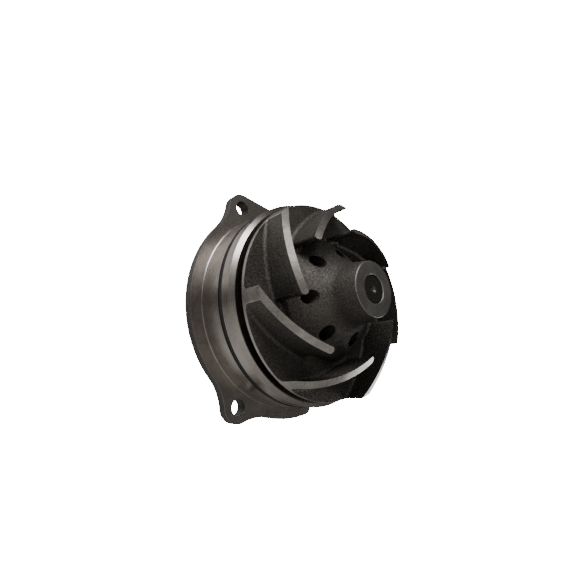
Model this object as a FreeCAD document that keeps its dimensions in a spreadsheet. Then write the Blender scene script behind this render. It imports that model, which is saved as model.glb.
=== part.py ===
import FreeCAD, Part
import math
import os
import re
import Sketcher

# Engine water pump: a cast-iron housing with a round spigot and a three-lug flange, an
# integral-shaft bearing, a mechanical face seal, an open seven-vane impeller and a belt pulley.
#
# Frame: the shaft turns about the Y axis. The origin is on that axis, in the plane of the
# flange's mounting face. The impeller's nose points to -Y, the belt pulley is on the +Y side,
# +Z is up. Sizes are millimetres and degrees.

SIZES = {
    # housing
    "spigot_radius": 70,
    "spigot_length": 32.5,
    "spigot_chamfer": 2.7,
    "spigot_root_width": 0.4,
    "o_ring_land": 18.5,
    "o_ring_groove_width": 3.9,
    "o_ring_groove_depth": 3.65,
    "flange_width": 8.3,
    "slim_flange_width": 2,
    "flange_thickness": 9,
    "flange_rear_round": 3.2,
    "bolt_circle_offset": 10,
    "bolt_hole_radius": 5.25,
    "lug_wall": 5.25,
    "lug_flare_radius": 35,
    "wide_rim_end_angle": 289,
    "rim_step_round": 4.4,
    "rim_step_root": 2,
    "front_wall": 8,
    "spigot_wall": 9,
    "boss_wall": 7,
    "boss_rear_wall": 3,
    "rib_thickness": 5,
    "rib_depth": 21,
    "weep_hole_radius": 3,
    "vent_hole_radius": 2.5,
    # bearing with its own shaft
    "bearing_length": 52,
    "bearing_ring_wall": 5.5,
    "race_room": 8,
    "shaft_radius": 12.5,
    "ball_track_depth": 0.75,
    "ball_clearance": 0.12,
    "ball_row_from_front": 15,
    "roller_row_from_rear": 16,
    "roller_length": 12,
    "roller_clearance": 0.08,
    "cage_half_wall": 1.6,
    "cage_side": 1.6,
    "cage_clearance": 0.2,
    "bearing_seal_width": 2,
    "bearing_seal_inset": 0.6,
    "bearing_seal_depth": 0.8,
    "seal_lip_clearance": 0.1,
    "retaining_ring_width": 1.8,
    "retaining_ring_inner": 23.5,
    "retaining_groove_depth": 1.6,
    "side_clearance": 0.1,
    # shaft ends
    "journal_radius": 9,
    "shaft_recess": 0.6,
    "shaft_edge_break": 0.6,
    "centre_drill_radius": 2.6,
    "centre_drill_depth": 3.4,
    # face seal
    "seal_bore_depth": 13.5,
    "seal_case_wall": 0.9,
    "seal_case_lip": 2.35,
    "seal_shaft_clearance": 1.6,
    "bellows_step": 0.6,
    "carbon_width": 5,
    "carbon_nose_width": 2.8,
    "carbon_nose_height": 1.6,
    "carbon_back_length": 4.6,
    "seal_face_gap": 0.05,
    "spring_seat_thickness": 1.2,
    "spring_wire_radius": 0.75,
    "spring_room": 1,
    "spring_turns": 3.5,
    "bellows_wall": 1.1,
    "bellows_fold": 1.4,
    "mating_ring_clearance": 1.4,
    "mating_ring_margin": 2.4,
    "mating_ring_thickness": 4.2,
    "mating_cup_wall": 1.9,
    "mating_cup_floor": 1.8,
    "weep_chamber_length": 9,
    "seal_seat_ledge": 1.25,
    "slinger_gap": 2,
    # impeller
    "impeller_gap": 6,
    "impeller_bore_clearance": 3.2,
    "outside_stock": 4,
    "backplate_rim": 2,
    "backplate_rise": 1.2,
    "hub_root_radius": 40.7,
    "hub_foot_radius": 39.2,
    "hub_foot_height": 7.7,
    "hub_flare_radius": 23.8,
    "hub_flare_height": 21.7,
    "hub_waist_radius": 20.3,
    "hub_waist_height": 25.2,
    "nose_radius": 17.6,
    "nose_height": 43.4,
    "nose_edge_break": 0.4,
    "hub_waist_round": 14,
    "hub_foot_round": 2.5,
    "hub_root_round": 2.5,
    "vane_count": 7,
    "vane_thickness": 4.1,
    "vane_curve_radius": 81.4,
    "vane_curve_centre": 41.6,
    "vane_curve_angle": 40.1,
    "vane_inner_radius": 43.4,
    "vane_tip_height": 15.9,
    "vane_top_slope": 0.505,
    "vane_root_round": 2.2,
    "balance_hole_radius": 4.4,
    "balance_circle_radius": 28.8,
    "balance_hole_angle": 188.7,
    # belt pulley
    "pulley_radius": 52,
    "pulley_lip": 1.6,
    "pulley_lip_width": 3,
    "pulley_groove_pitch": 3.56,
    "pulley_groove_depth": 2.9,
    "pulley_groove_count": 8,
    "pulley_rim_wall": 7.4,
    "pulley_flange_gap": 6,
    "pulley_web_thickness": 5,
    "pulley_hub_radius": 20,
    "pulley_hub_length": 17,
    "pulley_hub_gap": 3,
    "pulley_window_radius": 7,
    "pulley_window_circle": 32.5,
    "shaft_overhang": 1.5,
}

# Places along Y and sizes that follow from the driving sizes.
FORMULAS = {
    "flange_radius": "spigot_radius + flange_width",
    "slim_flange_radius": "spigot_radius + slim_flange_width",
    "bolt_circle_radius": "spigot_radius + bolt_circle_offset",
    "lug_radius": "bolt_hole_radius + lug_wall",
    "impeller_radius": "spigot_radius - impeller_bore_clearance",
    "race_radius": "shaft_radius + race_room",
    "bearing_radius": "race_radius + bearing_ring_wall",
    "boss_radius": "bearing_radius + boss_wall",
    "ball_radius": "race_room / 2 + ball_track_depth",
    "carbon_inner_radius": "journal_radius + seal_shaft_clearance",
    "carbon_nose_radius": "carbon_inner_radius + carbon_nose_width",
    "carbon_outer_radius": "carbon_inner_radius + carbon_width",
    "spring_coil_radius": "carbon_outer_radius",
    "seal_case_opening": "carbon_inner_radius + bellows_step",
    "seal_bore_radius": "spring_coil_radius + spring_wire_radius + spring_room + seal_case_wall",
    "seal_case_flange_radius": "seal_bore_radius + seal_case_lip",
    "mating_ring_inner": "journal_radius + mating_ring_clearance",
    "mating_ring_radius": "carbon_nose_radius + mating_ring_margin",
    "weep_chamber_radius": "seal_bore_radius - seal_seat_ledge",
    "slinger_radius": "weep_chamber_radius - slinger_gap",
    "slinger_width": "weep_chamber_length / 4",
    "pulley_front": "flange_thickness + pulley_flange_gap",
    "spigot_face": "-spigot_length",
    "o_ring_front": "-(o_ring_land + o_ring_groove_width)",
    "o_ring_floor": "spigot_radius - o_ring_groove_depth",
    "cavity_floor": "-(spigot_length - front_wall)",
    "cavity_radius": "spigot_radius - spigot_wall",
    "bearing_start": "seal_seat + weep_chamber_length",
    "bearing_end": "bearing_start + bearing_length",
    "clip_start": "bearing_end + side_clearance",
    "clip_end": "clip_start + retaining_ring_width + side_clearance",
    "clip_groove_radius": "bearing_radius + retaining_groove_depth",
    "boss_end": "clip_end + boss_rear_wall",
    "seal_seat": "-(spigot_length - seal_bore_depth)",
    "weep_place": "(seal_seat + bearing_start) / 2",
    "pitch_radius": "(race_radius + shaft_radius) / 2",
    "roller_radius": "(race_radius - shaft_radius) / 2 - roller_clearance",
    "ball_place": "bearing_start + ball_row_from_front",
    "roller_place": "bearing_end - roller_row_from_rear",
    "bearing_seal_groove": "race_radius + bearing_seal_depth",
    "backplate_face": "-(spigot_length + impeller_gap)",
    "rim_front": "backplate_face - backplate_rim",
    "nose_face": "backplate_face - nose_height",
    "blank_radius": "impeller_radius + outside_stock",
    "blank_rim_front": "rim_front + backplate_rise * outside_stock / (impeller_radius - hub_root_radius)",
    "hub_foot_face": "backplate_face - hub_foot_height",
    "floor_inner_face": "rim_front - backplate_rise",
    "shaft_front": "nose_face + shaft_recess",
    "cup_radius": "mating_ring_radius + mating_cup_wall",
    "mating_face": "backplate_face - 1",
    "mating_back": "mating_face - mating_ring_thickness",
    "cup_floor_face": "mating_back - mating_cup_floor",
    "carbon_face": "mating_face + seal_face_gap",
    "carbon_shoulder": "carbon_face + carbon_nose_height",
    "carbon_back": "carbon_shoulder + carbon_back_length",
    "seat_back": "carbon_back + spring_seat_thickness",
    "case_floor": "seal_seat - side_clearance",
    "case_inside": "case_floor - seal_case_wall",
    "pulley_rim_length": "pulley_groove_pitch * pulley_groove_count + 2 * pulley_lip_width",
    "pulley_back": "pulley_front + pulley_rim_length",
    "pulley_web_face": "boss_end + pulley_hub_gap",
    "pulley_end": "pulley_web_face + pulley_hub_length",
    "shaft_end": "pulley_end + shaft_overhang",
    "pulley_inner_radius": "pulley_radius - pulley_rim_wall",
}

doc = FreeCAD.newDocument("water_pump")
sheet = doc.addObject("Spreadsheet::Sheet", "dims")
for row, (name, size) in enumerate(SIZES.items(), start=1):
    sheet.set("A%d" % row, name)
    sheet.set("B%d" % row, str(size))
    sheet.setAlias("B%d" % row, name)
doc.recompute()


def bound(text):
    """Write a formula of named sizes as an expression on the spreadsheet."""
    def swap(match):
        name = match.group()
        if name in FORMULAS:
            return "(" + bound(FORMULAS[name]) + ")"
        return "dims." + name if name in SIZES else name
    return re.sub(r"[a-z_]+", swap, text)


def value(text):
    """The number that a formula of named sizes gives now."""
    result = sheet.evalExpression(bound(text))
    return float(getattr(result, "Value", result))


def tie(target, prop, text):
    target.setExpression(prop, bound(text))


def new_body(label):
    body = doc.addObject("PartDesign::Body", label)
    body.Label = label
    body.Placement = FreeCAD.Placement()
    return body


def origin_part(body, role):
    return next(part for part in body.Origin.OriginFeatures if part.Role == role)


def new_sketch(body, name, plane="XY_Plane"):
    sketch = body.newObject("Sketcher::SketchObject", name)
    sketch.AttachmentSupport = [(origin_part(body, plane), "")]
    sketch.MapMode = "FlatFace"
    return sketch


def pin_point(sketch, geometry, point, across, along):
    """Hold a sketch point at two formulas, each measured from an axis."""
    for text, kind, axis in ((across, "DistanceX", -2), (along, "DistanceY", -1)):
        if text == "0":
            sketch.addConstraint(Sketcher.Constraint("PointOnObject", geometry, point, axis))
            continue
        number = sketch.addConstraint(
            Sketcher.Constraint(kind, -1, 1, geometry, point, value(text)))
        tie(sketch, "Constraints[%d]" % number, text)


def draw_polygon(sketch, corners):
    """A closed outline of straight lines through corners given as pairs of formulas."""
    places = [FreeCAD.Vector(value(across), value(along), 0) for across, along in corners]
    first = sketch.GeometryCount
    count = len(corners)
    for index in range(count):
        line = Part.LineSegment(places[index], places[(index + 1) % count])
        sketch.addGeometry(line, False)
    for index in range(count):
        following = first + (index + 1) % count
        sketch.addConstraint(Sketcher.Constraint("Coincident", first + index, 2, following, 1))
    for index, (across, along) in enumerate(corners):
        pin_point(sketch, first + index, 1, across, along)


def draw_circle(sketch, across, along, radius):
    centre = FreeCAD.Vector(value(across), value(along), 0)
    circle = Part.Circle(centre, FreeCAD.Vector(0, 0, 1), value(radius))
    index = sketch.addGeometry(circle, False)
    pin_point(sketch, index, 3, across, along)
    number = sketch.addConstraint(Sketcher.Constraint("Radius", index, value(radius)))
    tie(sketch, "Constraints[%d]" % number, radius)


def spin(body, name, sketch, kind="PartDesign::Revolution"):
    """Turn a sketch of (radius, Y) right round the shaft axis, as metal or as a cut."""
    feature = body.newObject(kind, name)
    feature.Profile = sketch
    feature.ReferenceAxis = (sketch, ["V_Axis"])
    feature.Angle = 360
    return feature


def turned(label, corners):
    """A piece turned from one outline of (radius, Y) corners."""
    body = new_body(label)
    sketch = new_sketch(body, label + "_outline")
    draw_polygon(sketch, corners)
    spin(body, label + "_turned", sketch)
    doc.recompute()
    return body


def turn_away(body, name, corners):
    sketch = new_sketch(body, name + "_outline")
    draw_polygon(sketch, corners)
    return spin(body, name, sketch, "PartDesign::Groove")


def round_groove(body, name, radius, along, section):
    sketch = new_sketch(body, name + "_outline")
    draw_circle(sketch, radius, along, section)
    return spin(body, name, sketch, "PartDesign::Groove")


def extrude(body, name, sketch, length, kind="PartDesign::Pad", reverse=False):
    feature = body.newObject(kind, name)
    feature.Profile = sketch
    feature.Reversed = reverse
    tie(feature, "Length", length)
    return feature


def repeat_round(body, name, features, count):
    """Copy features evenly about the shaft axis."""
    doc.recompute()
    pattern = body.newObject("PartDesign::PolarPattern", name)
    pattern.Originals = features
    pattern.Axis = (origin_part(body, "Y_Axis"), [""])
    pattern.Angle = 360
    if count in SIZES:
        tie(pattern, "Occurrences", count)
    else:
        pattern.Occurrences = int(count)
    body.Tip = pattern
    doc.recompute()
    return pattern


def round_edges(body, name, radius, wanted):
    """Fillet the edges of the body so far that the test accepts."""
    doc.recompute()
    base = body.Tip
    names = ["Edge%d" % number for number, edge in enumerate(base.Shape.Edges, start=1)
             if wanted(edge)]
    if not names:
        raise ValueError("no edges found for " + name)
    fillet = body.newObject("PartDesign::Fillet", name)
    fillet.Base = (base, names)
    tie(fillet, "Radius", radius)
    doc.recompute()
    return fillet


def must_cut(body, name, before):
    """A cut that points away from the metal removes nothing and gives no error."""
    doc.recompute()
    if body.Shape.Volume >= before - 1:
        raise ValueError(name + " removed nothing")


# ---------------------------------------------------------------- housing

def upright_near(places, reach):
    """Accepts straight edges parallel to the shaft that pass near one of some (X, Z) places."""
    def wanted(edge):
        if edge.Curve.TypeId != "Part::GeomLine" or abs(edge.tangentAt(0).y) < 0.99:
            return False
        middle = edge.CenterOfMass
        return any(math.hypot(middle.x - x, middle.z - z) < reach for x, z in places)
    return wanted


def polar(radius, angle):
    return radius * math.cos(math.radians(angle)), radius * math.sin(math.radians(angle))


def lug_flank(housing, number, lug_angle, side):
    """Straight flank of a lug, tangent to the lug's round end and to the slim flange."""
    lean = "acos((slim_flange_radius - lug_radius) / bolt_circle_radius)"
    turn = "(%d deg %s %s)" % (lug_angle, side, lean)
    lug_x = "bolt_circle_radius * cos(%d)" % lug_angle
    lug_z = "bolt_circle_radius * sin(%d)" % lug_angle
    inner = "(slim_flange_radius - lug_radius)"
    sketch = new_sketch(housing, "lug_flank_outline_%d" % number, "XZ_Plane")
    draw_polygon(sketch, [
        (inner + " * cos(%d)" % lug_angle, inner + " * sin(%d)" % lug_angle),
        (lug_x, lug_z),
        (lug_x + " + lug_radius * cos%s" % turn, lug_z + " + lug_radius * sin%s" % turn),
        ("slim_flange_radius * cos%s" % turn, "slim_flange_radius * sin%s" % turn),
    ])
    extrude(housing, "lug_flank_%d" % number, sketch, "flange_thickness", reverse=True)


def make_housing():
    housing = turned("housing", [
        ("seal_bore_radius", "spigot_face"),
        ("spigot_radius - spigot_chamfer", "spigot_face"),
        ("spigot_radius", "spigot_face + spigot_chamfer"),
        ("spigot_radius", "o_ring_front"),
        ("o_ring_floor", "o_ring_front"),
        ("o_ring_floor", "-o_ring_land"),
        ("spigot_radius", "-o_ring_land"),
        ("spigot_radius", "-spigot_root_width"),
        ("spigot_radius + spigot_root_width", "0"),
        ("spigot_radius + spigot_root_width", "flange_thickness"),
        ("cavity_radius", "flange_thickness"),
        ("cavity_radius", "cavity_floor"),
        ("boss_radius", "cavity_floor"),
        ("boss_radius", "boss_end"),
        ("bearing_radius", "boss_end"),
        ("bearing_radius", "clip_end"),
        ("clip_groove_radius", "clip_end"),
        ("clip_groove_radius", "clip_start"),
        ("bearing_radius", "clip_start"),
        ("bearing_radius", "bearing_start"),
        ("weep_chamber_radius", "bearing_start"),
        ("weep_chamber_radius", "seal_seat"),
        ("seal_bore_radius", "seal_seat"),
    ])

    ribs = new_sketch(housing, "rib_outline", "XZ_Plane")
    draw_polygon(ribs, [
        ("boss_radius - 2", "-rib_thickness / 2"),
        ("cavity_radius + 2", "-rib_thickness / 2"),
        ("cavity_radius + 2", "rib_thickness / 2"),
        ("boss_radius - 2", "rib_thickness / 2"),
    ])
    tie(ribs, "AttachmentOffset.Base.z", "-cavity_floor + 1")
    rib = extrude(housing, "rib", ribs, "rib_depth + 1", reverse=True)
    repeat_round(housing, "ribs", [rib], "6")

    slim = new_sketch(housing, "slim_flange_outline", "XZ_Plane")
    draw_circle(slim, "0", "0", "slim_flange_radius")
    draw_circle(slim, "0", "0", "(spigot_radius + cavity_radius) / 2")
    extrude(housing, "slim_flange", slim, "flange_thickness", reverse=True)

    wide = new_sketch(housing, "wide_flange_outline")
    draw_polygon(wide, [
        ("cavity_radius + 2", "0"),
        ("flange_radius", "0"),
        ("flange_radius", "flange_thickness"),
        ("cavity_radius + 2", "flange_thickness"),
    ])
    wide.AttachmentOffset = FreeCAD.Placement(
        FreeCAD.Vector(), FreeCAD.Rotation(FreeCAD.Vector(0, 1, 0), 0))
    tie(wide, "AttachmentOffset.Rotation.Angle", "-120")
    sector = housing.newObject("PartDesign::Revolution", "wide_flange")
    sector.Profile = wide
    sector.ReferenceAxis = (wide, ["V_Axis"])
    sector.Reversed = True
    tie(sector, "Angle", "wide_rim_end_angle - 120")

    lug = new_sketch(housing, "lug_outline", "XZ_Plane")
    draw_circle(lug, "bolt_circle_radius", "0", "lug_radius")
    boss = extrude(housing, "lug", lug, "flange_thickness", reverse=True)
    repeat_round(housing, "lugs", [boss], "3")

    lug_flank(housing, 1, 0, "+")
    lug_flank(housing, 2, 0, "-")
    lug_flank(housing, 3, 120, "-")

    # The lugs flare into the wide flange, and the wide flange ends in a rounded step.
    side = math.degrees(math.asin(min(1, value("lug_radius / bolt_circle_radius"))))
    flares = [polar(value("flange_radius"), angle) for angle in
              (120 + side, 240 - side, 240 + side)]
    round_edges(housing, "lug_flares", "lug_flare_radius", upright_near(flares, 3))
    step_angle = value("wide_rim_end_angle")
    round_edges(housing, "step_corner", "rim_step_round",
                upright_near([polar(value("flange_radius"), step_angle)], 1))
    round_edges(housing, "step_root", "rim_step_root",
                upright_near([polar(value("slim_flange_radius"), step_angle)], 1))

    holes = new_sketch(housing, "bolt_hole_outline", "XZ_Plane")
    draw_circle(holes, "bolt_circle_radius", "0", "bolt_hole_radius")
    before = housing.Shape.Volume
    hole = extrude(housing, "bolt_hole", holes, "flange_thickness", "PartDesign::Pocket")
    repeat_round(housing, "bolt_holes", [hole], "3")
    must_cut(housing, "bolt_holes", before)

    # The weep hole drains the chamber behind the seal downwards, the vent opens it upwards.
    for name, radius, upward in (("weep_hole", "weep_hole_radius", False),
                                 ("vent_hole", "vent_hole_radius", True)):
        drill = new_sketch(housing, name + "_outline")
        draw_circle(drill, "0", "weep_place", radius)
        before = housing.Shape.Volume
        extrude(housing, name, drill, "boss_radius + 2", "PartDesign::Pocket", upward)
        must_cut(housing, name, before)

    def rear_rim(edge):
        box = edge.BoundBox
        on_back = min(abs(box.YMin), box.YMax) > value("flange_thickness") - 0.01
        middle = edge.valueAt((edge.FirstParameter + edge.LastParameter) / 2)
        outside = math.hypot(middle.x, middle.z) > value("slim_flange_radius") - 0.5
        hole_edge = edge.Length < 2 * math.pi * value("bolt_hole_radius") + 0.1 and any(
            math.hypot(middle.x - x, middle.z - z) < value("bolt_hole_radius") + 0.1
            for x, z in (polar(value("bolt_circle_radius"), angle) for angle in (0, 120, 240)))
        return on_back and box.YLength < 0.01 and outside and not hole_edge
    round_edges(housing, "flange_rear_edge", "flange_rear_round", rear_rim)
    return housing


# ---------------------------------------------------------------- bearing

def ring_section(inner, outer, front, rear):
    return [(inner, front), (outer, front), (outer, rear), (inner, rear)]


def grouped(label, pieces):
    group = doc.addObject("Part::Compound", label)
    group.Label = label
    group.Links = pieces
    return group


def around_shaft(index, count):
    return "(%d deg * 360 / %d)" % (index, count)


def make_bearing():
    outer = turned("bearing_outer_ring", [
        ("race_radius", "bearing_start + bearing_seal_inset + bearing_seal_width"),
        ("bearing_seal_groove", "bearing_start + bearing_seal_inset + bearing_seal_width"),
        ("bearing_seal_groove", "bearing_start"),
        ("bearing_radius", "bearing_start"),
        ("bearing_radius", "bearing_end"),
        ("bearing_seal_groove", "bearing_end"),
        ("bearing_seal_groove", "bearing_end - bearing_seal_inset - bearing_seal_width"),
        ("race_radius", "bearing_end - bearing_seal_inset - bearing_seal_width"),
    ])
    before = outer.Shape.Volume
    round_groove(outer, "outer_ball_track", "pitch_radius", "ball_place",
                 "ball_radius + ball_clearance")
    must_cut(outer, "outer_ball_track", before)

    front = "bearing_start + bearing_seal_inset"
    rear = "bearing_end - bearing_seal_inset"
    lip = "shaft_radius + seal_lip_clearance"
    turned("bearing_front_seal", ring_section(
        lip, "bearing_seal_groove", front, front + " + bearing_seal_width"))
    turned("bearing_rear_seal", ring_section(
        lip, "bearing_seal_groove", rear + " - bearing_seal_width", rear))

    balls = []
    for index in range(BALL_COUNT):
        ball = doc.addObject("Part::Sphere", "ball_%d" % (index + 1))
        tie(ball, "Radius", "ball_radius")
        turn = around_shaft(index, BALL_COUNT)
        tie(ball, "Placement.Base.x", "pitch_radius * cos" + turn)
        tie(ball, "Placement.Base.y", "ball_place")
        tie(ball, "Placement.Base.z", "pitch_radius * sin" + turn)
        balls.append(ball)
    grouped("bearing_balls", balls)

    rollers = []
    for index in range(ROLLER_COUNT):
        roller = doc.addObject("Part::Cylinder", "roller_%d" % (index + 1))
        roller.Placement.Rotation = FreeCAD.Rotation(FreeCAD.Vector(1, 0, 0), -90)
        tie(roller, "Radius", "roller_radius")
        tie(roller, "Height", "roller_length")
        turn = around_shaft(index, ROLLER_COUNT)
        tie(roller, "Placement.Base.x", "pitch_radius * cos" + turn)
        tie(roller, "Placement.Base.y", "roller_place - roller_length / 2")
        tie(roller, "Placement.Base.z", "pitch_radius * sin" + turn)
        rollers.append(roller)
    grouped("bearing_rollers", rollers)

    reach = "ball_radius + cage_clearance + cage_side"
    ball_cage = turned("ball_cage", ring_section(
        "pitch_radius - cage_half_wall", "pitch_radius + cage_half_wall",
        "ball_place - " + reach.replace("+", "-"), "ball_place + " + reach))
    window = new_sketch(ball_cage, "ball_window_outline", "YZ_Plane")
    draw_circle(window, "ball_place", "0", "ball_radius + cage_clearance")
    before = ball_cage.Shape.Volume
    pocket = extrude(ball_cage, "ball_window", window, "race_radius", "PartDesign::Pocket", True)
    repeat_round(ball_cage, "ball_windows", [pocket], str(BALL_COUNT))
    must_cut(ball_cage, "ball_windows", before)

    half = "roller_length / 2 + cage_clearance"
    reach = half + " + cage_side"
    roller_cage = turned("roller_cage", ring_section(
        "pitch_radius - cage_half_wall", "pitch_radius + cage_half_wall",
        "roller_place - (" + reach + ")", "roller_place + " + reach))
    window = new_sketch(roller_cage, "roller_window_outline", "YZ_Plane")
    width = "roller_radius + cage_clearance"
    draw_polygon(window, [
        ("roller_place - (" + half + ")", "-(" + width + ")"),
        ("roller_place + " + half, "-(" + width + ")"),
        ("roller_place + " + half, width),
        ("roller_place - (" + half + ")", width),
    ])
    before = roller_cage.Shape.Volume
    pocket = extrude(roller_cage, "roller_window", window, "race_radius",
                     "PartDesign::Pocket", True)
    repeat_round(roller_cage, "roller_windows", [pocket], str(ROLLER_COUNT))
    must_cut(roller_cage, "roller_windows", before)

    # A circlip: a ring with a gap, and lugs at the gap's ends.
    clip = turned("bearing_retaining_ring", ring_section(
        "retaining_ring_inner", "clip_groove_radius - side_clearance",
        "clip_start + side_clearance / 2", "clip_end - side_clearance / 2"))
    gap = new_sketch(clip, "clip_gap_outline", "XZ_Plane")
    draw_polygon(gap, [
        ("-retaining_groove_depth * 2", "boss_radius"),
        ("-retaining_groove_depth * 2", "0"),
        ("retaining_groove_depth * 2", "0"),
        ("retaining_groove_depth * 2", "boss_radius"),
    ])
    before = clip.Shape.Volume
    extrude(clip, "clip_gap", gap, "boss_end", "PartDesign::Pocket")
    must_cut(clip, "clip_gap", before)


# ---------------------------------------------------------------- shaft and pulley

def make_shaft():
    shaft = turned("pump_shaft", [
        ("0", "shaft_front + centre_drill_depth"),
        ("centre_drill_radius", "shaft_front"),
        ("journal_radius - shaft_edge_break", "shaft_front"),
        ("journal_radius", "shaft_front + shaft_edge_break"),
        ("journal_radius", "bearing_start - side_clearance"),
        ("shaft_radius", "bearing_start - side_clearance"),
        ("shaft_radius", "shaft_end - shaft_edge_break"),
        ("shaft_radius - shaft_edge_break", "shaft_end"),
        ("centre_drill_radius", "shaft_end"),
        ("0", "shaft_end - centre_drill_depth"),
    ])
    before = shaft.Shape.Volume
    round_groove(shaft, "inner_ball_track", "pitch_radius", "ball_place",
                 "ball_radius + ball_clearance")
    must_cut(shaft, "inner_ball_track", before)


def make_pulley():
    grooves = []
    for index in range(GROOVE_COUNT):
        start = "pulley_front + pulley_lip_width + pulley_groove_pitch * %d" % index
        grooves += [
            ("pulley_radius", start + " + pulley_groove_pitch * 0.1"),
            ("pulley_radius - pulley_groove_depth", start + " + pulley_groove_pitch * 0.42"),
            ("pulley_radius - pulley_groove_depth", start + " + pulley_groove_pitch * 0.58"),
            ("pulley_radius", start + " + pulley_groove_pitch * 0.9"),
        ]
    lip = "pulley_radius + pulley_lip"
    pulley = turned("belt_pulley", [
        ("pulley_inner_radius", "pulley_front"),
        (lip, "pulley_front"),
        (lip, "pulley_front + pulley_lip_width - pulley_lip"),
        ("pulley_radius", "pulley_front + pulley_lip_width"),
    ] + grooves + [
        ("pulley_radius", "pulley_back - pulley_lip_width"),
        (lip, "pulley_back - pulley_lip_width + pulley_lip"),
        (lip, "pulley_back"),
        ("pulley_inner_radius + 2", "pulley_web_face + pulley_web_thickness"),
        ("pulley_hub_radius", "pulley_web_face + pulley_web_thickness"),
        ("pulley_hub_radius", "pulley_end"),
        ("shaft_radius", "pulley_end"),
        ("shaft_radius", "pulley_web_face"),
        ("pulley_inner_radius", "pulley_web_face"),
    ])
    window = new_sketch(pulley, "pulley_window_outline", "XZ_Plane")
    draw_circle(window, "pulley_window_circle", "0", "pulley_window_radius")
    before = pulley.Shape.Volume
    pocket = extrude(pulley, "pulley_window", window, "pulley_end", "PartDesign::Pocket")
    repeat_round(pulley, "pulley_windows", [pocket], "5")
    must_cut(pulley, "pulley_windows", before)


# ---------------------------------------------------------------- face seal

def make_face_seal():
    wall = "seal_case_wall"
    turned("seal_case", [
        ("seal_case_opening", "case_floor"),
        ("seal_case_opening", "case_inside"),
        ("seal_bore_radius - " + wall, "case_inside"),
        ("seal_bore_radius - " + wall, "spigot_face - " + wall),
        ("seal_case_flange_radius", "spigot_face - " + wall),
        ("seal_case_flange_radius", "spigot_face"),
        ("seal_bore_radius", "spigot_face"),
        ("seal_bore_radius", "case_floor"),
    ])
    turned("seal_carbon_ring", [
        ("carbon_inner_radius", "carbon_face"),
        ("carbon_nose_radius", "carbon_face"),
        ("carbon_nose_radius", "carbon_shoulder"),
        ("carbon_outer_radius", "carbon_shoulder"),
        ("carbon_outer_radius", "carbon_back"),
        ("carbon_inner_radius", "carbon_back"),
    ])
    turned("seal_spring_seat", ring_section(
        "spring_coil_radius - spring_wire_radius * 2", "spring_coil_radius + spring_wire_radius",
        "carbon_back", "seat_back"))
    # The bellows is a rubber sleeve with one fold, from the carbon ring to the case's floor.
    inner = "seal_case_opening"
    fold = "(seat_back + case_inside) / 2"
    turned("seal_bellows", [
        (inner, "carbon_back"),
        (inner + " + bellows_wall", "carbon_back"),
        (inner + " + bellows_wall", fold + " - bellows_fold"),
        (inner + " + bellows_wall + bellows_fold", fold),
        (inner + " + bellows_wall", fold + " + bellows_fold"),
        (inner + " + bellows_wall", "case_inside"),
        (inner, "case_inside"),
        (inner, fold + " + bellows_fold"),
        (inner + " + bellows_fold", fold),
        (inner, fold + " - bellows_fold"),
    ])
    turned("seal_mating_ring", ring_section(
        "mating_ring_inner", "mating_ring_radius", "mating_back", "mating_face"))
    turned("mating_ring_cup", [
        ("mating_ring_inner", "cup_floor_face"),
        ("cup_radius", "cup_floor_face"),
        ("cup_radius", "mating_face - 0.5"),
        ("mating_ring_radius", "mating_face - 0.5"),
        ("mating_ring_radius", "mating_back"),
        ("mating_ring_inner", "mating_back"),
    ])
    turned("slinger_ring", [
        ("journal_radius", "weep_place - slinger_width"),
        ("slinger_radius", "weep_place"),
        ("slinger_radius", "weep_place + slinger_width / 2"),
        ("journal_radius", "weep_place + slinger_width"),
    ])

    spring = doc.addObject("Part::Sweep", "seal_spring")
    coil = doc.addObject("Part::Helix", "spring_line")
    wire = doc.addObject("Part::Circle", "spring_wire_outline")
    space = "(case_inside - seat_back - spring_wire_radius * 2 - side_clearance * 2)"
    tie(coil, "Radius", "spring_coil_radius")
    tie(coil, "Height", space)
    tie(coil, "Pitch", space + " / spring_turns")
    tie(wire, "Radius", "spring_wire_radius")
    tie(wire, "Placement.Base.x", "spring_coil_radius")
    wire.Placement.Rotation = FreeCAD.Rotation(FreeCAD.Vector(1, 0, 0), 90)
    doc.recompute()
    spring.Sections = [wire]
    spring.Spine = (coil, ["Edge%d" % (n + 1) for n in range(len(coil.Shape.Edges))])
    spring.Solid = True
    spring.Frenet = True
    spring.Label = "seal_spring"
    spring.Placement.Rotation = FreeCAD.Rotation(FreeCAD.Vector(1, 0, 0), -90)
    tie(spring, "Placement.Base.y", "seat_back + spring_wire_radius + side_clearance")


# ---------------------------------------------------------------- impeller

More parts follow.
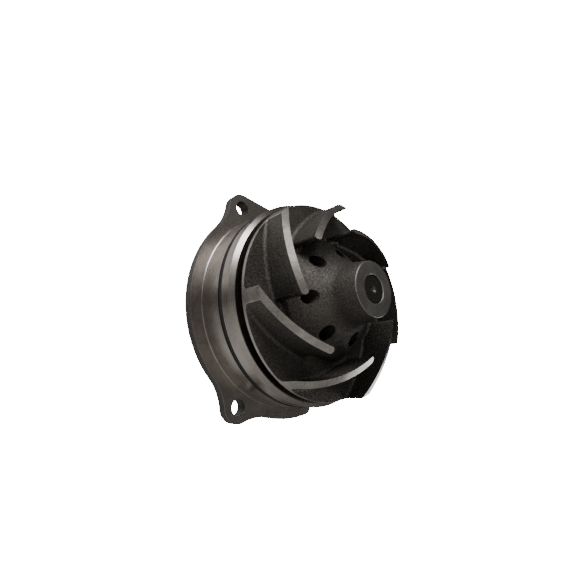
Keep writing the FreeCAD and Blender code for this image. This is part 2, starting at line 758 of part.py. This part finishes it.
def draw_vane(sketch):
    """The plan of one vane: a strip along an arc, round at the inner end."""
    half = value("vane_thickness") / 2
    curve = value("vane_curve_radius")
    far = value("vane_curve_centre")
    inner = value("vane_inner_radius")
    beyond = value("blank_radius") + 3
    turn = math.radians(value("vane_curve_angle"))
    centre = FreeCAD.Vector(far * math.cos(turn), far * math.sin(turn), 0)

    def angle_at(strip_radius, distance):
        """Angle about the strip's centre of its point at a distance from the shaft."""
        shift = (distance ** 2 - far ** 2 - strip_radius ** 2) / (2 * far * strip_radius)
        return turn + math.acos(shift)

    z_axis = FreeCAD.Vector(0, 0, 1)
    tip_angle = angle_at(curve, inner)
    outer_angles = [angle_at(curve + half, beyond), angle_at(curve - half, beyond)]
    outside = Part.ArcOfCircle(Part.Circle(centre, z_axis, curve + half), outer_angles[0], tip_angle)
    inside = Part.ArcOfCircle(Part.Circle(centre, z_axis, curve - half), outer_angles[1], tip_angle)
    tip_centre = centre + FreeCAD.Vector(math.cos(tip_angle), math.sin(tip_angle), 0) * curve
    tip = Part.ArcOfCircle(Part.Circle(tip_centre, z_axis, half), tip_angle, tip_angle + math.pi)
    end = Part.LineSegment(inside.StartPoint, outside.StartPoint)
    for shape in (outside, inside, tip, end):
        sketch.addGeometry(shape, False)

    def hold(kind, places, text):
        number = sketch.addConstraint(Sketcher.Constraint(kind, *places, value(text)))
        tie(sketch, "Constraints[%d]" % number, text)

    pin_point(sketch, 0, 3, "vane_curve_centre * cos(1 deg * vane_curve_angle)",
              "vane_curve_centre * sin(1 deg * vane_curve_angle)")
    sketch.addConstraint(Sketcher.Constraint("Coincident", 1, 3, 0, 3))
    sketch.addConstraint(Sketcher.Constraint("Tangent", 0, 2, 2, 1))
    sketch.addConstraint(Sketcher.Constraint("Tangent", 1, 2, 2, 2))
    sketch.addConstraint(Sketcher.Constraint("Coincident", 3, 1, 1, 1))
    sketch.addConstraint(Sketcher.Constraint("Coincident", 3, 2, 0, 1))
    hold("Radius", (0,), "vane_curve_radius + vane_thickness / 2")
    hold("Radius", (1,), "vane_curve_radius - vane_thickness / 2")
    hold("Distance", (-1, 1, 2, 3), "vane_inner_radius")
    hold("Distance", (-1, 1, 0, 1), "blank_radius + 3")
    hold("Distance", (-1, 1, 1, 1), "blank_radius + 3")


def make_impeller():
    impeller = turned("impeller", [
        ("journal_radius", "cup_floor_face"),
        ("cup_radius", "cup_floor_face"),
        ("cup_radius", "backplate_face"),
        ("blank_radius", "backplate_face"),
        ("blank_radius", "blank_rim_front"),
        ("hub_root_radius", "floor_inner_face"),
        ("hub_foot_radius", "hub_foot_face"),
        ("hub_flare_radius", "backplate_face - hub_flare_height"),
        ("hub_waist_radius", "backplate_face - hub_waist_height"),
        ("nose_radius", "nose_face + nose_edge_break"),
        ("nose_radius - nose_edge_break", "nose_face"),
        ("journal_radius + nose_edge_break", "nose_face"),
        ("journal_radius", "nose_face + nose_edge_break"),
    ])

    def circle_at(radius, along):
        """Accepts the full circle of the turned shape at a radius and a place along Y."""
        def wanted(edge):
            middle = edge.valueAt((edge.FirstParameter + edge.LastParameter) / 2)
            return (edge.BoundBox.YLength < 0.01 and abs(middle.y - value(along)) < 0.01
                    and abs(math.hypot(middle.x, middle.z) - value(radius)) < 0.01)
        return wanted
    round_edges(impeller, "hub_waist_bend", "hub_waist_round",
                circle_at("hub_waist_radius", "backplate_face - hub_waist_height"))
    round_edges(impeller, "hub_foot_edge", "hub_foot_round",
                circle_at("hub_foot_radius", "hub_foot_face"))
    round_edges(impeller, "hub_root", "hub_root_round",
                circle_at("hub_root_radius", "floor_inner_face"))

    before = impeller.Shape.Volume
    holes = new_sketch(impeller, "balance_hole_outline", "XZ_Plane")
    draw_circle(holes, "balance_circle_radius * cos(1 deg * balance_hole_angle)",
                "balance_circle_radius * sin(1 deg * balance_hole_angle)", "balance_hole_radius")
    hole = extrude(impeller, "balance_hole", holes, "-nose_face", "PartDesign::Pocket", True)
    repeat_round(impeller, "balance_holes", [hole], "vane_count")
    must_cut(impeller, "balance_holes", before)

    vane = new_sketch(impeller, "vane_outline", "XZ_Plane")
    draw_vane(vane)
    tie(vane, "AttachmentOffset.Base.z", "-(backplate_face + rim_front) / 2")
    blade = extrude(impeller, "vane", vane, "nose_height - 8")
    repeat_round(impeller, "vanes", [blade], "vane_count")

    def vane_top(radius):
        return ("backplate_face - vane_tip_height - vane_top_slope * (impeller_radius - (%s))"
                % radius)
    clear = "hub_foot_radius + 0.6"
    turn_away(impeller, "vane_tops", [
        (clear, "nose_face - 5"),
        ("impeller_radius + 10", "nose_face - 5"),
        ("impeller_radius + 10", vane_top("impeller_radius + 10")),
        (clear, vane_top(clear)),
    ])

    def vane_root(edge):
        middle = edge.valueAt((edge.FirstParameter + edge.LastParameter) / 2)
        out = math.hypot(middle.x, middle.z)
        low = -value("floor_inner_face") + value("hub_foot_height") / 2
        seam = abs(middle.z) < 0.001 and middle.x > 0
        return (value("hub_foot_radius") < out < value("blank_radius") - 0.1
                and -value("blank_rim_front") - 0.1 < -middle.y < low
                and edge.BoundBox.YLength < 4 and not seam and not_turned(edge))

    def not_turned(edge):
        """Refuses the circles that the hub's own outline makes about the shaft."""
        if edge.Curve.TypeId != "Part::GeomCircle":
            return True
        centre = edge.Curve.Center
        return math.hypot(centre.x, centre.z) > 1
    round_edges(impeller, "vane_roots", "vane_root_round", vane_root)

    # The rim and the vanes' outer ends are turned to size together, after casting.
    turn_away(impeller, "impeller_outside", [
        ("impeller_radius", "nose_face - 5"),
        ("blank_radius + 10", "nose_face - 5"),
        ("blank_radius + 10", "spigot_face"),
        ("impeller_radius", "spigot_face"),
    ])
    doc.recompute()

BALL_COUNT = 8
ROLLER_COUNT = 10
GROOVE_COUNT = SIZES["pulley_groove_count"]

make_housing()

ring = doc.addObject("Part::Torus", "spigot_o_ring")
ring.Label = "spigot_o_ring"
ring.Placement.Rotation = FreeCAD.Rotation(FreeCAD.Vector(1, 0, 0), 90)
section = "(o_ring_groove_width / 2 - side_clearance / 2)"
tie(ring, "Radius1", "o_ring_floor + " + section)
tie(ring, "Radius2", section)
tie(ring, "Placement.Base.y", "-(o_ring_land + o_ring_groove_width / 2)")

make_bearing()
make_shaft()
make_pulley()
make_face_seal()
make_impeller()

filter_plug = doc.addObject("Part::Cylinder", "weep_filter")
filter_plug.Label = "weep_filter"
filter_plug.Placement.Rotation = FreeCAD.Rotation(FreeCAD.Vector(1, 0, 0), 180)
tie(filter_plug, "Radius", "weep_hole_radius - 0.05")
tie(filter_plug, "Height", "(boss_radius - weep_chamber_radius) / 2")
tie(filter_plug, "Placement.Base.y", "weep_place")
tie(filter_plug, "Placement.Base.z", "-(boss_radius + weep_chamber_radius) / 2 + 1")

NODES = [
    "housing", "spigot_o_ring", "bearing_outer_ring", "bearing_balls", "ball_cage",
    "bearing_rollers", "roller_cage", "bearing_front_seal", "bearing_rear_seal",
    "bearing_retaining_ring", "seal_case", "seal_bellows", "seal_spring", "seal_spring_seat",
    "seal_carbon_ring", "seal_mating_ring", "mating_ring_cup", "slinger_ring", "weep_filter",
    "pump_shaft", "impeller", "belt_pulley",
]

doc.recompute()
for thing in doc.Objects:
    if "Invalid" in thing.State or "Error" in thing.State:
        raise ValueError("%s did not rebuild: %s" % (thing.Name, thing.State))
pieces = {name: doc.getObjectsByLabel(name)[0] for name in NODES}
for name, piece in pieces.items():
    if piece.Shape.isNull() or not piece.Shape.isValid():
        raise ValueError(name + " has no valid shape")

os.makedirs("parts", exist_ok=True)
for name, piece in pieces.items():
    piece.Shape.exportStep("parts/%s.step" % name)
    box = piece.Shape.BoundBox
    print("%-24s %d solids %9.0f mm3  X %.1f..%.1f  Y %.1f..%.1f  Z %.1f..%.1f" % (
        name, len(piece.Shape.Solids), piece.Shape.Volume,
        box.XMin, box.XMax, box.YMin, box.YMax, box.ZMin, box.ZMax))
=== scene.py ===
import math

import bpy
from mathutils import Matrix, Vector


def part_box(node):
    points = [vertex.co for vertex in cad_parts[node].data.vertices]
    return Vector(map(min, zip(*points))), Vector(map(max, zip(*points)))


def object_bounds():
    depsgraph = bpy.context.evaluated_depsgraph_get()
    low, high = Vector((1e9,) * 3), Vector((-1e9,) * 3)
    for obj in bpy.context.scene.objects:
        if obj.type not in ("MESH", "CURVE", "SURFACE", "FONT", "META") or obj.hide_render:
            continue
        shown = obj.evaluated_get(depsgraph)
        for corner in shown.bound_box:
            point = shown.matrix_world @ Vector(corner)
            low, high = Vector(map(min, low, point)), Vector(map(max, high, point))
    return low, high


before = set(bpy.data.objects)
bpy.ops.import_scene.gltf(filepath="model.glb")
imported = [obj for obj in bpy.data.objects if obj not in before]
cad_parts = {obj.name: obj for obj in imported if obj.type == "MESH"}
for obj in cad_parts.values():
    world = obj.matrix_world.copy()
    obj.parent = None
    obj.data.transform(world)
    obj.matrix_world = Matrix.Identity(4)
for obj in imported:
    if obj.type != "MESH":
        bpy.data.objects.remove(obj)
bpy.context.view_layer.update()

# Object frame: the shaft is the Y axis, the impeller's nose points to -Y, +Z is up. Metres.


# ---------------------------------------------------------------- shader helpers

class Net:
    """A node tree, with short calls for the nodes that patterns are made of."""

    def __init__(self, tree, place):
        self.tree = tree
        self.place = tree.nodes.new("ShaderNodeTexCoord").outputs[place]
        split = tree.nodes.new("ShaderNodeSeparateXYZ")
        tree.links.new(self.place, split.inputs[0])
        self.x, self.y, self.z = split.outputs

    def put(self, socket, value):
        """Link a socket or set a constant."""
        if isinstance(value, bpy.types.NodeSocket):
            self.tree.links.new(value, socket)
        else:
            socket.default_value = value

    def math(self, operation, first, second=0.0):
        node = self.tree.nodes.new("ShaderNodeMath")
        node.operation = operation
        self.put(node.inputs[0], first)
        self.put(node.inputs[1], second)
        return node.outputs[0]

    def vector(self, x, y, z):
        node = self.tree.nodes.new("ShaderNodeCombineXYZ")
        for socket, value in zip(node.inputs, (x, y, z)):
            self.put(socket, value)
        return node.outputs[0]

    def noise(self, scale, detail=3.0, rough=0.5, place=None):
        node = self.tree.nodes.new("ShaderNodeTexNoise")
        self.put(node.inputs["Vector"], self.place if place is None else place)
        node.inputs["Scale"].default_value = scale
        node.inputs["Detail"].default_value = detail
        node.inputs["Roughness"].default_value = rough
        return node.outputs["Fac"]

    def ramp(self, value, low, high, start=0.0, end=1.0):
        """Map low..high smoothly to start..end, held beyond them."""
        node = self.tree.nodes.new("ShaderNodeMapRange")
        node.interpolation_type = "SMOOTHSTEP"
        for socket, number in zip(node.inputs[1:5], (low, high, start, end)):
            self.put(socket, number)
        self.put(node.inputs[0], value)
        return node.outputs[0]

    def blend(self, share, first, second):
        """Mix two numbers."""
        node = self.tree.nodes.new("ShaderNodeMix")
        self.put(node.inputs[0], share)
        self.put(node.inputs[2], first)
        self.put(node.inputs[3], second)
        return node.outputs[0]

    def tint(self, share, first, second):
        """Mix two colours."""
        node = self.tree.nodes.new("ShaderNodeMix")
        node.data_type = "RGBA"
        self.put(node.inputs[0], share)
        for socket, value in ((node.inputs[6], first), (node.inputs[7], second)):
            self.put(socket, value if isinstance(value, bpy.types.NodeSocket) else (*value, 1.0))
        return node.outputs[2]

    def bump(self, height, depth, strength=1.0, normal=None):
        node = self.tree.nodes.new("ShaderNodeBump")
        node.inputs["Strength"].default_value = strength
        node.inputs["Distance"].default_value = depth
        self.put(node.inputs["Height"], height)
        if normal is not None:
            self.put(node.inputs["Normal"], normal)
        return node.outputs[0]


class Shader(Net):
    """One node material of the object, laid out in the object's own frame."""

    def __init__(self, name):
        self.material = bpy.data.materials.new(name)
        self.material.use_nodes = True
        super().__init__(self.material.node_tree, "Object")
        self.surface = self.tree.nodes["Principled BSDF"]
        self.radius = self.math("SQRT", self.math("ADD", self.math("MULTIPLY", self.x, self.x),
                                                  self.math("MULTIPLY", self.z, self.z)))

    def turning_marks(self, pitch):
        """Fine rings left by a lathe: fast across the radius and along the shaft, slow round it."""
        turn = self.math("ARCTAN2", self.z, self.x)
        across = self.math("DIVIDE", self.radius, pitch)
        along = self.math("DIVIDE", self.y, pitch)
        return self.noise(1.0, 2.0, 0.6, self.vector(across, along, self.math("MULTIPLY", turn, 1.3)))

    def near(self, value, target, reach):
        """1 where a value is within reach of a target, falling off quickly outside."""
        gap = self.math("ABSOLUTE", self.math("SUBTRACT", value, target))
        return self.ramp(gap, reach, reach * 1.6, 1.0, 0.0)

    def finish(self, colour, roughness, normal=None, metallic=0.0, specular=None):
        self.put(self.surface.inputs["Base Color"], colour)
        self.put(self.surface.inputs["Roughness"], roughness)
        self.put(self.surface.inputs["Metallic"], metallic)
        if specular is not None:
            self.surface.inputs["Specular IOR Level"].default_value = specular
        if normal is not None:
            self.put(self.surface.inputs["Normal"], normal)
        return self.material


MM = 0.001


# ---------------------------------------------------------------- materials

def machined_iron():
    """Turned iron on the spigot and the mounting face, rough cast skin behind that face."""
    s = Shader("machined_iron")
    cast = s.ramp(s.y, 0.1 * MM, 0.4 * MM)
    rings = s.turning_marks(0.35 * MM)
    stain = s.noise(38.0, 4.0, 0.6)
    blotch = s.noise(160.0, 3.0, 0.65)
    grain = s.noise(700.0, 4.0, 0.7)
    pores = s.ramp(s.noise(1500.0, 2.0, 0.7), 0.26, 0.34, 1.0, 0.0)
    turned = s.tint(s.ramp(stain, 0.35, 0.7), (0.33, 0.306, 0.284), (0.42, 0.399, 0.375))
    turned = s.tint(s.math("MULTIPLY", s.ramp(blotch, 0.5, 0.72), 0.35), turned, (0.22, 0.192, 0.164))
    turned = s.tint(s.math("MULTIPLY", pores, 0.6), turned, (0.05, 0.045, 0.04))
    skin = s.tint(s.ramp(grain, 0.35, 0.7), (0.05, 0.047, 0.043), (0.105, 0.1, 0.092))
    colour = s.tint(cast, turned, skin)
    shine = s.math("ADD", s.blend(stain, 0.2, 0.28), s.math("MULTIPLY", rings, 0.1))
    rough = s.blend(cast, shine, s.blend(grain, 0.5, 0.68))
    height = s.blend(cast, s.math("MULTIPLY", rings, 0.04), grain)
    normal = s.bump(height, 0.2 * MM, 0.6)
    return s.finish(colour, rough, normal, s.blend(cast, 1.0, 0.7))


VANE_TIP_DEPTH = 15.9 * MM      # from the backplate's rear face to the vane tops at the rim
VANE_TOP_SLOPE = 0.505          # rise of the vane tops towards the hub
VANE_HUB_CLEARANCE = 39.5 * MM  # the turned vane tops start outside this radius


def cast_impeller():
    """Sand-cast iron skin, with bare turned metal on the vane tops, the rim and the nose."""
    low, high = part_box("impeller")
    outside = max(abs(low[0]), abs(high[0]), abs(low[2]), abs(high[2]))
    nose, back = low[1], high[1]
    s = Shader("cast_impeller")
    grain = s.noise(1150.0, 4.0, 0.75)
    lumps = s.noise(330.0, 3.0, 0.6)
    pits = s.ramp(s.noise(950.0, 2.0, 0.5), 0.28, 0.4, 1.0, 0.0)
    broad = s.noise(45.0, 3.0, 0.5)
    skin = s.tint(s.ramp(broad, 0.3, 0.72), (0.05, 0.047, 0.043), (0.085, 0.08, 0.073))
    skin = s.tint(s.ramp(grain, 0.42, 0.68), skin, (0.155, 0.146, 0.134))
    skin = s.tint(s.math("MULTIPLY", pits, 0.7), skin, (0.02, 0.018, 0.016))

    top = s.math("MULTIPLY", s.math("SUBTRACT", outside, s.radius), VANE_TOP_SLOPE)
    top = s.math("SUBTRACT", back - VANE_TIP_DEPTH, top)
    tops = s.math("MULTIPLY", s.near(s.y, top, 0.1 * MM),
                  s.math("GREATER_THAN", s.radius, VANE_HUB_CLEARANCE))
    rim = s.ramp(s.radius, outside - 0.3 * MM, outside - 0.15 * MM)
    end = s.ramp(s.y, nose + 0.3 * MM, nose + 0.5 * MM, 1.0, 0.0)
    turned = s.math("MAXIMUM", s.math("MAXIMUM", tops, rim), end)

    rings = s.turning_marks(0.3 * MM)
    cloud = s.ramp(s.noise(90.0, 3.0, 0.6), 0.35, 0.7)
    metal = s.tint(cloud, (0.34, 0.325, 0.305), (0.48, 0.46, 0.435))
    metal = s.tint(end, metal, s.tint(cloud, (0.26, 0.254, 0.242), (0.34, 0.332, 0.318)))
    metal = s.tint(s.math("MULTIPLY", pits, 0.5), metal, (0.06, 0.055, 0.05))
    colour = s.tint(turned, skin, metal)
    shine = s.math("ADD", s.blend(end, 0.28, 0.46), s.math("MULTIPLY", rings, 0.12))
    rough = s.blend(turned, s.blend(grain, 0.44, 0.66), shine)
    height = s.math("ADD", s.math("MULTIPLY", grain, 0.7), s.math("MULTIPLY", lumps, 0.7))
    height = s.math("SUBTRACT", height, s.math("MULTIPLY", pits, 0.3))
    normal = s.bump(s.blend(turned, height, s.math("MULTIPLY", rings, 0.03)), 0.34 * MM, 1.0)
    return s.finish(colour, rough, normal, s.blend(turned, 0.75, 1.0))


SHAFT_RING_STEP = 1.45 * MM     # between the lathe's rings on the shaft's end
SHAFT_GAP_SHADE_START = 8.1 * MM     # painted shade of the gap between the shaft's end and the impeller's bore: the end face turns near black between these radii
SHAFT_GAP_SHADE_END = 8.5 * MM


def shaft_steel():
    """Ground steel, with the lathe's rings, a darker ringed end face, and painted shade of the gap
    round that end in the impeller's nose.
    """
    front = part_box("pump_shaft")[0][1]
    s = Shader("shaft_steel")
    face = s.ramp(s.y, front + 2.0 * MM, front + 2.4 * MM, 1.0, 0.0)
    rings = s.turning_marks(0.25 * MM)
    wave = s.math("SINE", s.math("MULTIPLY", s.radius, 2.0 * math.pi / SHAFT_RING_STEP))
    # painted shade: the gap between the shaft's end and the impeller's bore, as a near-black ring at
    # the rim of the end face
    gap_shade = s.math("MULTIPLY", face, s.ramp(s.radius, SHAFT_GAP_SHADE_START, SHAFT_GAP_SHADE_END))
    colour = s.tint(s.ramp(s.noise(120.0, 4.0, 0.6), 0.35, 0.7), (0.26, 0.25, 0.24), (0.4, 0.385, 0.37))
    # the end face painted darker, in light and dark rings by radius
    ringed_end_face = s.tint(s.ramp(wave, -0.6, 0.9), (0.05, 0.048, 0.045), (0.1, 0.097, 0.092))
    colour = s.tint(s.math("MULTIPLY", face, 0.9), colour, ringed_end_face)
    # painted shade of that gap, in near black
    colour = s.tint(gap_shade, colour, (0.012, 0.012, 0.012))
    rough = s.math("ADD", s.blend(face, 0.26, 0.4), s.math("MULTIPLY", rings, 0.12))
    waves = s.math("MULTIPLY", s.math("MULTIPLY", wave, face), 0.5)
    height = s.math("ADD", s.math("MULTIPLY", rings, 0.1), waves)
    return s.finish(colour, rough, s.bump(height, 0.05 * MM, 0.5), 1.0)


def turned_steel(name, dark, light, roughness, pitch=0.25 * MM):
    s = Shader(name)
    rings = s.turning_marks(pitch)
    wear = s.noise(120.0, 4.0, 0.6)
    colour = s.tint(s.ramp(wear, 0.35, 0.7), dark, light)
    rough = s.math("ADD", roughness, s.math("MULTIPLY", rings, 0.12))
    return s.finish(colour, rough, s.bump(rings, 0.008 * MM, 0.5), metallic=1.0)


def rubber(name, colour, shine):
    s = Shader(name)
    dust = s.noise(300.0, 4.0, 0.65)
    bloom = s.tint(s.ramp(dust, 0.45, 0.75), colour, tuple(c * 2.2 + 0.004 for c in colour))
    rough = s.blend(dust, shine, shine + 0.18)
    return s.finish(bloom, rough, s.bump(s.noise(1200.0, 3.0, 0.6), 0.02 * MM, 0.5), specular=0.45)


def moulded(name, colour, light, roughness, grain_scale, depth):
    s = Shader(name)
    grain = s.noise(grain_scale, 4.0, 0.6)
    shade = s.tint(s.ramp(grain, 0.3, 0.7), colour, light)
    rough = s.blend(grain, roughness, roughness + 0.12)
    return s.finish(shade, rough, s.bump(grain, depth, 0.6))


def black_coat():
    """Thin black phosphate coat on turned steel, worn towards the belt grooves' crests."""
    s = Shader("pulley_black")
    rings = s.turning_marks(0.4 * MM)
    cloud = s.noise(70.0, 4.0, 0.6)
    colour = s.tint(s.ramp(cloud, 0.35, 0.7), (0.022, 0.022, 0.023), (0.05, 0.05, 0.052))
    wear = s.math("MULTIPLY", s.ramp(s.noise(230.0, 4.0, 0.7), 0.56, 0.7),
                  s.ramp(s.radius, 50.5 * MM, 52.2 * MM))
    colour = s.tint(s.math("MULTIPLY", wear, 0.7), colour, (0.3, 0.29, 0.28))
    rough = s.blend(cloud, 0.36, 0.5)
    normal = s.bump(rings, 0.012 * MM, 0.5)
    normal = s.bump(s.noise(800.0, 3.0, 0.6), 0.02 * MM, 0.4, normal)
    return s.finish(colour, rough, normal, metallic=0.65)


def dress_nodes():
    """Give every CAD node its material."""
    steel = turned_steel("bearing_steel", (0.42, 0.41, 0.4), (0.58, 0.57, 0.56), 0.2)
    spring = turned_steel("spring_steel", (0.3, 0.3, 0.3), (0.46, 0.46, 0.46), 0.26)
    black = rubber("black_rubber", (0.008, 0.0082, 0.0105), 0.5)
    cage = moulded("cage_nylon", (0.1, 0.065, 0.035), (0.16, 0.11, 0.065), 0.42, 900.0, 0.02 * MM)
    brass = turned_steel("seal_brass", (0.55, 0.38, 0.16), (0.72, 0.54, 0.27), 0.28)
    looks = {
        "housing": machined_iron(),
        "impeller": cast_impeller(),
        "pump_shaft": shaft_steel(),
        "spigot_o_ring": black,
        "bearing_front_seal": black,
        "bearing_rear_seal": black,
        "seal_bellows": black,
        "mating_ring_cup": black,
        "slinger_ring": black,
        "bearing_outer_ring": steel,
        "bearing_balls": steel,
        "bearing_rollers": steel,
        "bearing_retaining_ring": spring,
        "seal_spring": spring,
        "ball_cage": cage,
        "roller_cage": cage,
        "seal_case": brass,
        "seal_spring_seat": brass,
        "seal_carbon_ring": moulded("seal_carbon", (0.02, 0.02, 0.022), (0.045, 0.045, 0.05),
                                    0.3, 600.0, 0.01 * MM),
        "seal_mating_ring": moulded("seal_ceramic", (0.72, 0.68, 0.6), (0.82, 0.79, 0.72),
                                    0.16, 240.0, 0.004 * MM),
        "weep_filter": moulded("filter_foam", (0.32, 0.3, 0.24), (0.62, 0.59, 0.5),
                               0.8, 2200.0, 0.4 * MM),
        "belt_pulley": black_coat(),
    }
    for name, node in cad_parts.items():
        node.data.materials.clear()
        node.data.materials.append(looks[name])


# ---------------------------------------------------------------- stage, light and camera

WHITE = 40.0              # bright enough to show as plain white
FLOOR_HALF_WIDTH = 6.0
FLOOR_GAP = 1.0 * MM      # between the object's lowest point and the floor
LIGHT_DISTANCE = 0.9      # of every softbox from the object's origin
SOFT_WHITE = (1.0, 0.98, 0.97)

# Each softbox: its name, direction, width, height, power and colour.
LIGHTS = [
    ("back_left", (-0.42, 0.72, 0.52), 0.9, 0.55, 0.6, (1.0, 0.96, 0.92)),
    ("front_left", (-0.5, -0.35, 0.8), 0.4, 0.4, 6.0, SOFT_WHITE),
    ("front_top", (-0.2, -0.75, 0.66), 0.4, 0.3, 1.1, SOFT_WHITE),
    ("low_right", (0.89, -0.24, -0.4), 0.5, 0.35, 2.0, SOFT_WHITE),
    ("rear", (0.1, 0.95, 0.25), 0.6, 0.6, 2.5, (1.0, 1.0, 1.0)),
]

# What the object sees round it, from straight down to straight up: height and brightness.
ROOM = [(-1.0, 0.4), (-0.45, 0.72), (-0.24, 0.45), (-0.03, 0.42), (0.04, 0.1), (0.2, 0.1),
        (0.31, 0.42), (0.6, 0.5), (0.85, 0.22), (1.0, 0.12)]


def white_surroundings():
    """White behind the object; on the object, a room that is darkest at eye level on the right."""
    world = bpy.data.worlds.new("studio")
    bpy.context.scene.world = world
    world.use_nodes = True
    nodes, links = world.node_tree.nodes, world.node_tree.links
    net = Net(world.node_tree, "Generated")
    shades = nodes.new("ShaderNodeValToRGB")
    stops = shades.color_ramp.elements
    while len(stops) < len(ROOM):
        stops.new(0.5)
    for stop, (level, strength) in zip(stops, ROOM):
        stop.position = (level + 1.0) / 2.0
        stop.color = (strength, strength * 0.965, strength * 0.925, 1.0)
    net.put(shades.inputs[0], net.math("MULTIPLY", net.math("ADD", net.z, 1.0), 0.5))
    right = net.ramp(net.x, -0.2, 0.7, 1.0, 0.35)
    behind = net.math("ADD", net.x, net.math("MULTIPLY", net.y, 0.6))
    room = nodes["Background"]
    net.put(room.inputs["Color"], shades.outputs["Color"])
    net.put(room.inputs["Strength"], net.math("MULTIPLY", right, net.ramp(behind, 0.7, 1.0, 1.0, 0.12)))
    plain = nodes.new("ShaderNodeBackground")
    plain.inputs["Strength"].default_value = WHITE
    choice = nodes.new("ShaderNodeMixShader")
    net.put(choice.inputs[0], nodes.new("ShaderNodeLightPath").outputs["Is Camera Ray"])
    net.put(choice.inputs[1], room.outputs[0])
    net.put(choice.inputs[2], plain.outputs[0])
    links.new(choice.outputs[0], nodes["World Output"].inputs["Surface"])


def pale_floor():
    half = FLOOR_HALF_WIDTH
    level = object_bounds()[0][2] - FLOOR_GAP
    mesh = bpy.data.meshes.new("floor")
    corners = [(-half, -half, level), (half, -half, level), (half, half, level), (-half, half, level)]
    mesh.from_pydata(corners, [], [(0, 1, 2, 3)])
    floor = bpy.data.objects.new("floor", mesh)
    bpy.context.scene.collection.objects.link(floor)
    material = bpy.data.materials.new("floor_white")
    material.use_nodes = True
    surface = material.node_tree.nodes["Principled BSDF"]
    surface.inputs["Base Color"].default_value = (0.9, 0.9, 0.9, 1.0)
    surface.inputs["Roughness"].default_value = 0.9
    surface.inputs["Emission Color"].default_value = (1.0, 1.0, 1.0, 1.0)
    surface.inputs["Emission Strength"].default_value = WHITE
    mesh.materials.append(material)
    floor.visible_diffuse = False
    floor.visible_glossy = False


def softbox(name, direction, width, height, power, colour):
    """A rectangular light that stands off in a direction and looks at the object."""
    light = bpy.data.lights.new(name, "AREA")
    light.shape = "RECTANGLE"
    light.size, light.size_y = width, height
    light.energy = power
    light.color = colour
    lamp = bpy.data.objects.new(name, light)
    away = Vector(direction).normalized()
    lamp.location = away * LIGHT_DISTANCE
    lamp.rotation_euler = away.to_track_quat("Z", "Y").to_euler()
    bpy.context.scene.collection.objects.link(lamp)


def camera_at(azimuth, elevation, roll, place, lens):
    """The camera at a place, turned by azimuth and elevation from looking along +Y."""
    data = bpy.data.cameras.new("camera")
    data.lens = lens
    data.sensor_width = 36.0
    data.clip_start = 0.01
    camera = bpy.data.objects.new("camera", data)
    a, e = math.radians(azimuth), math.radians(elevation)
    forward = Vector((-math.sin(a) * math.cos(e), math.cos(a) * math.cos(e), -math.sin(e)))
    turn = forward.to_track_quat("-Z", "Y").to_matrix() @ Matrix.Rotation(math.radians(roll), 3, "Z")
    camera.location = place
    camera.rotation_euler = turn.to_euler()
    bpy.context.scene.collection.objects.link(camera)
    bpy.context.scene.camera = camera


camera_at(azimuth=-41.9, elevation=-14.03, roll=-0.5, place=(-0.20195, -0.22946, -0.06044), lens=26.08)
dress_nodes()
white_surroundings()
pale_floor()
for light in LIGHTS:
    softbox(*light)
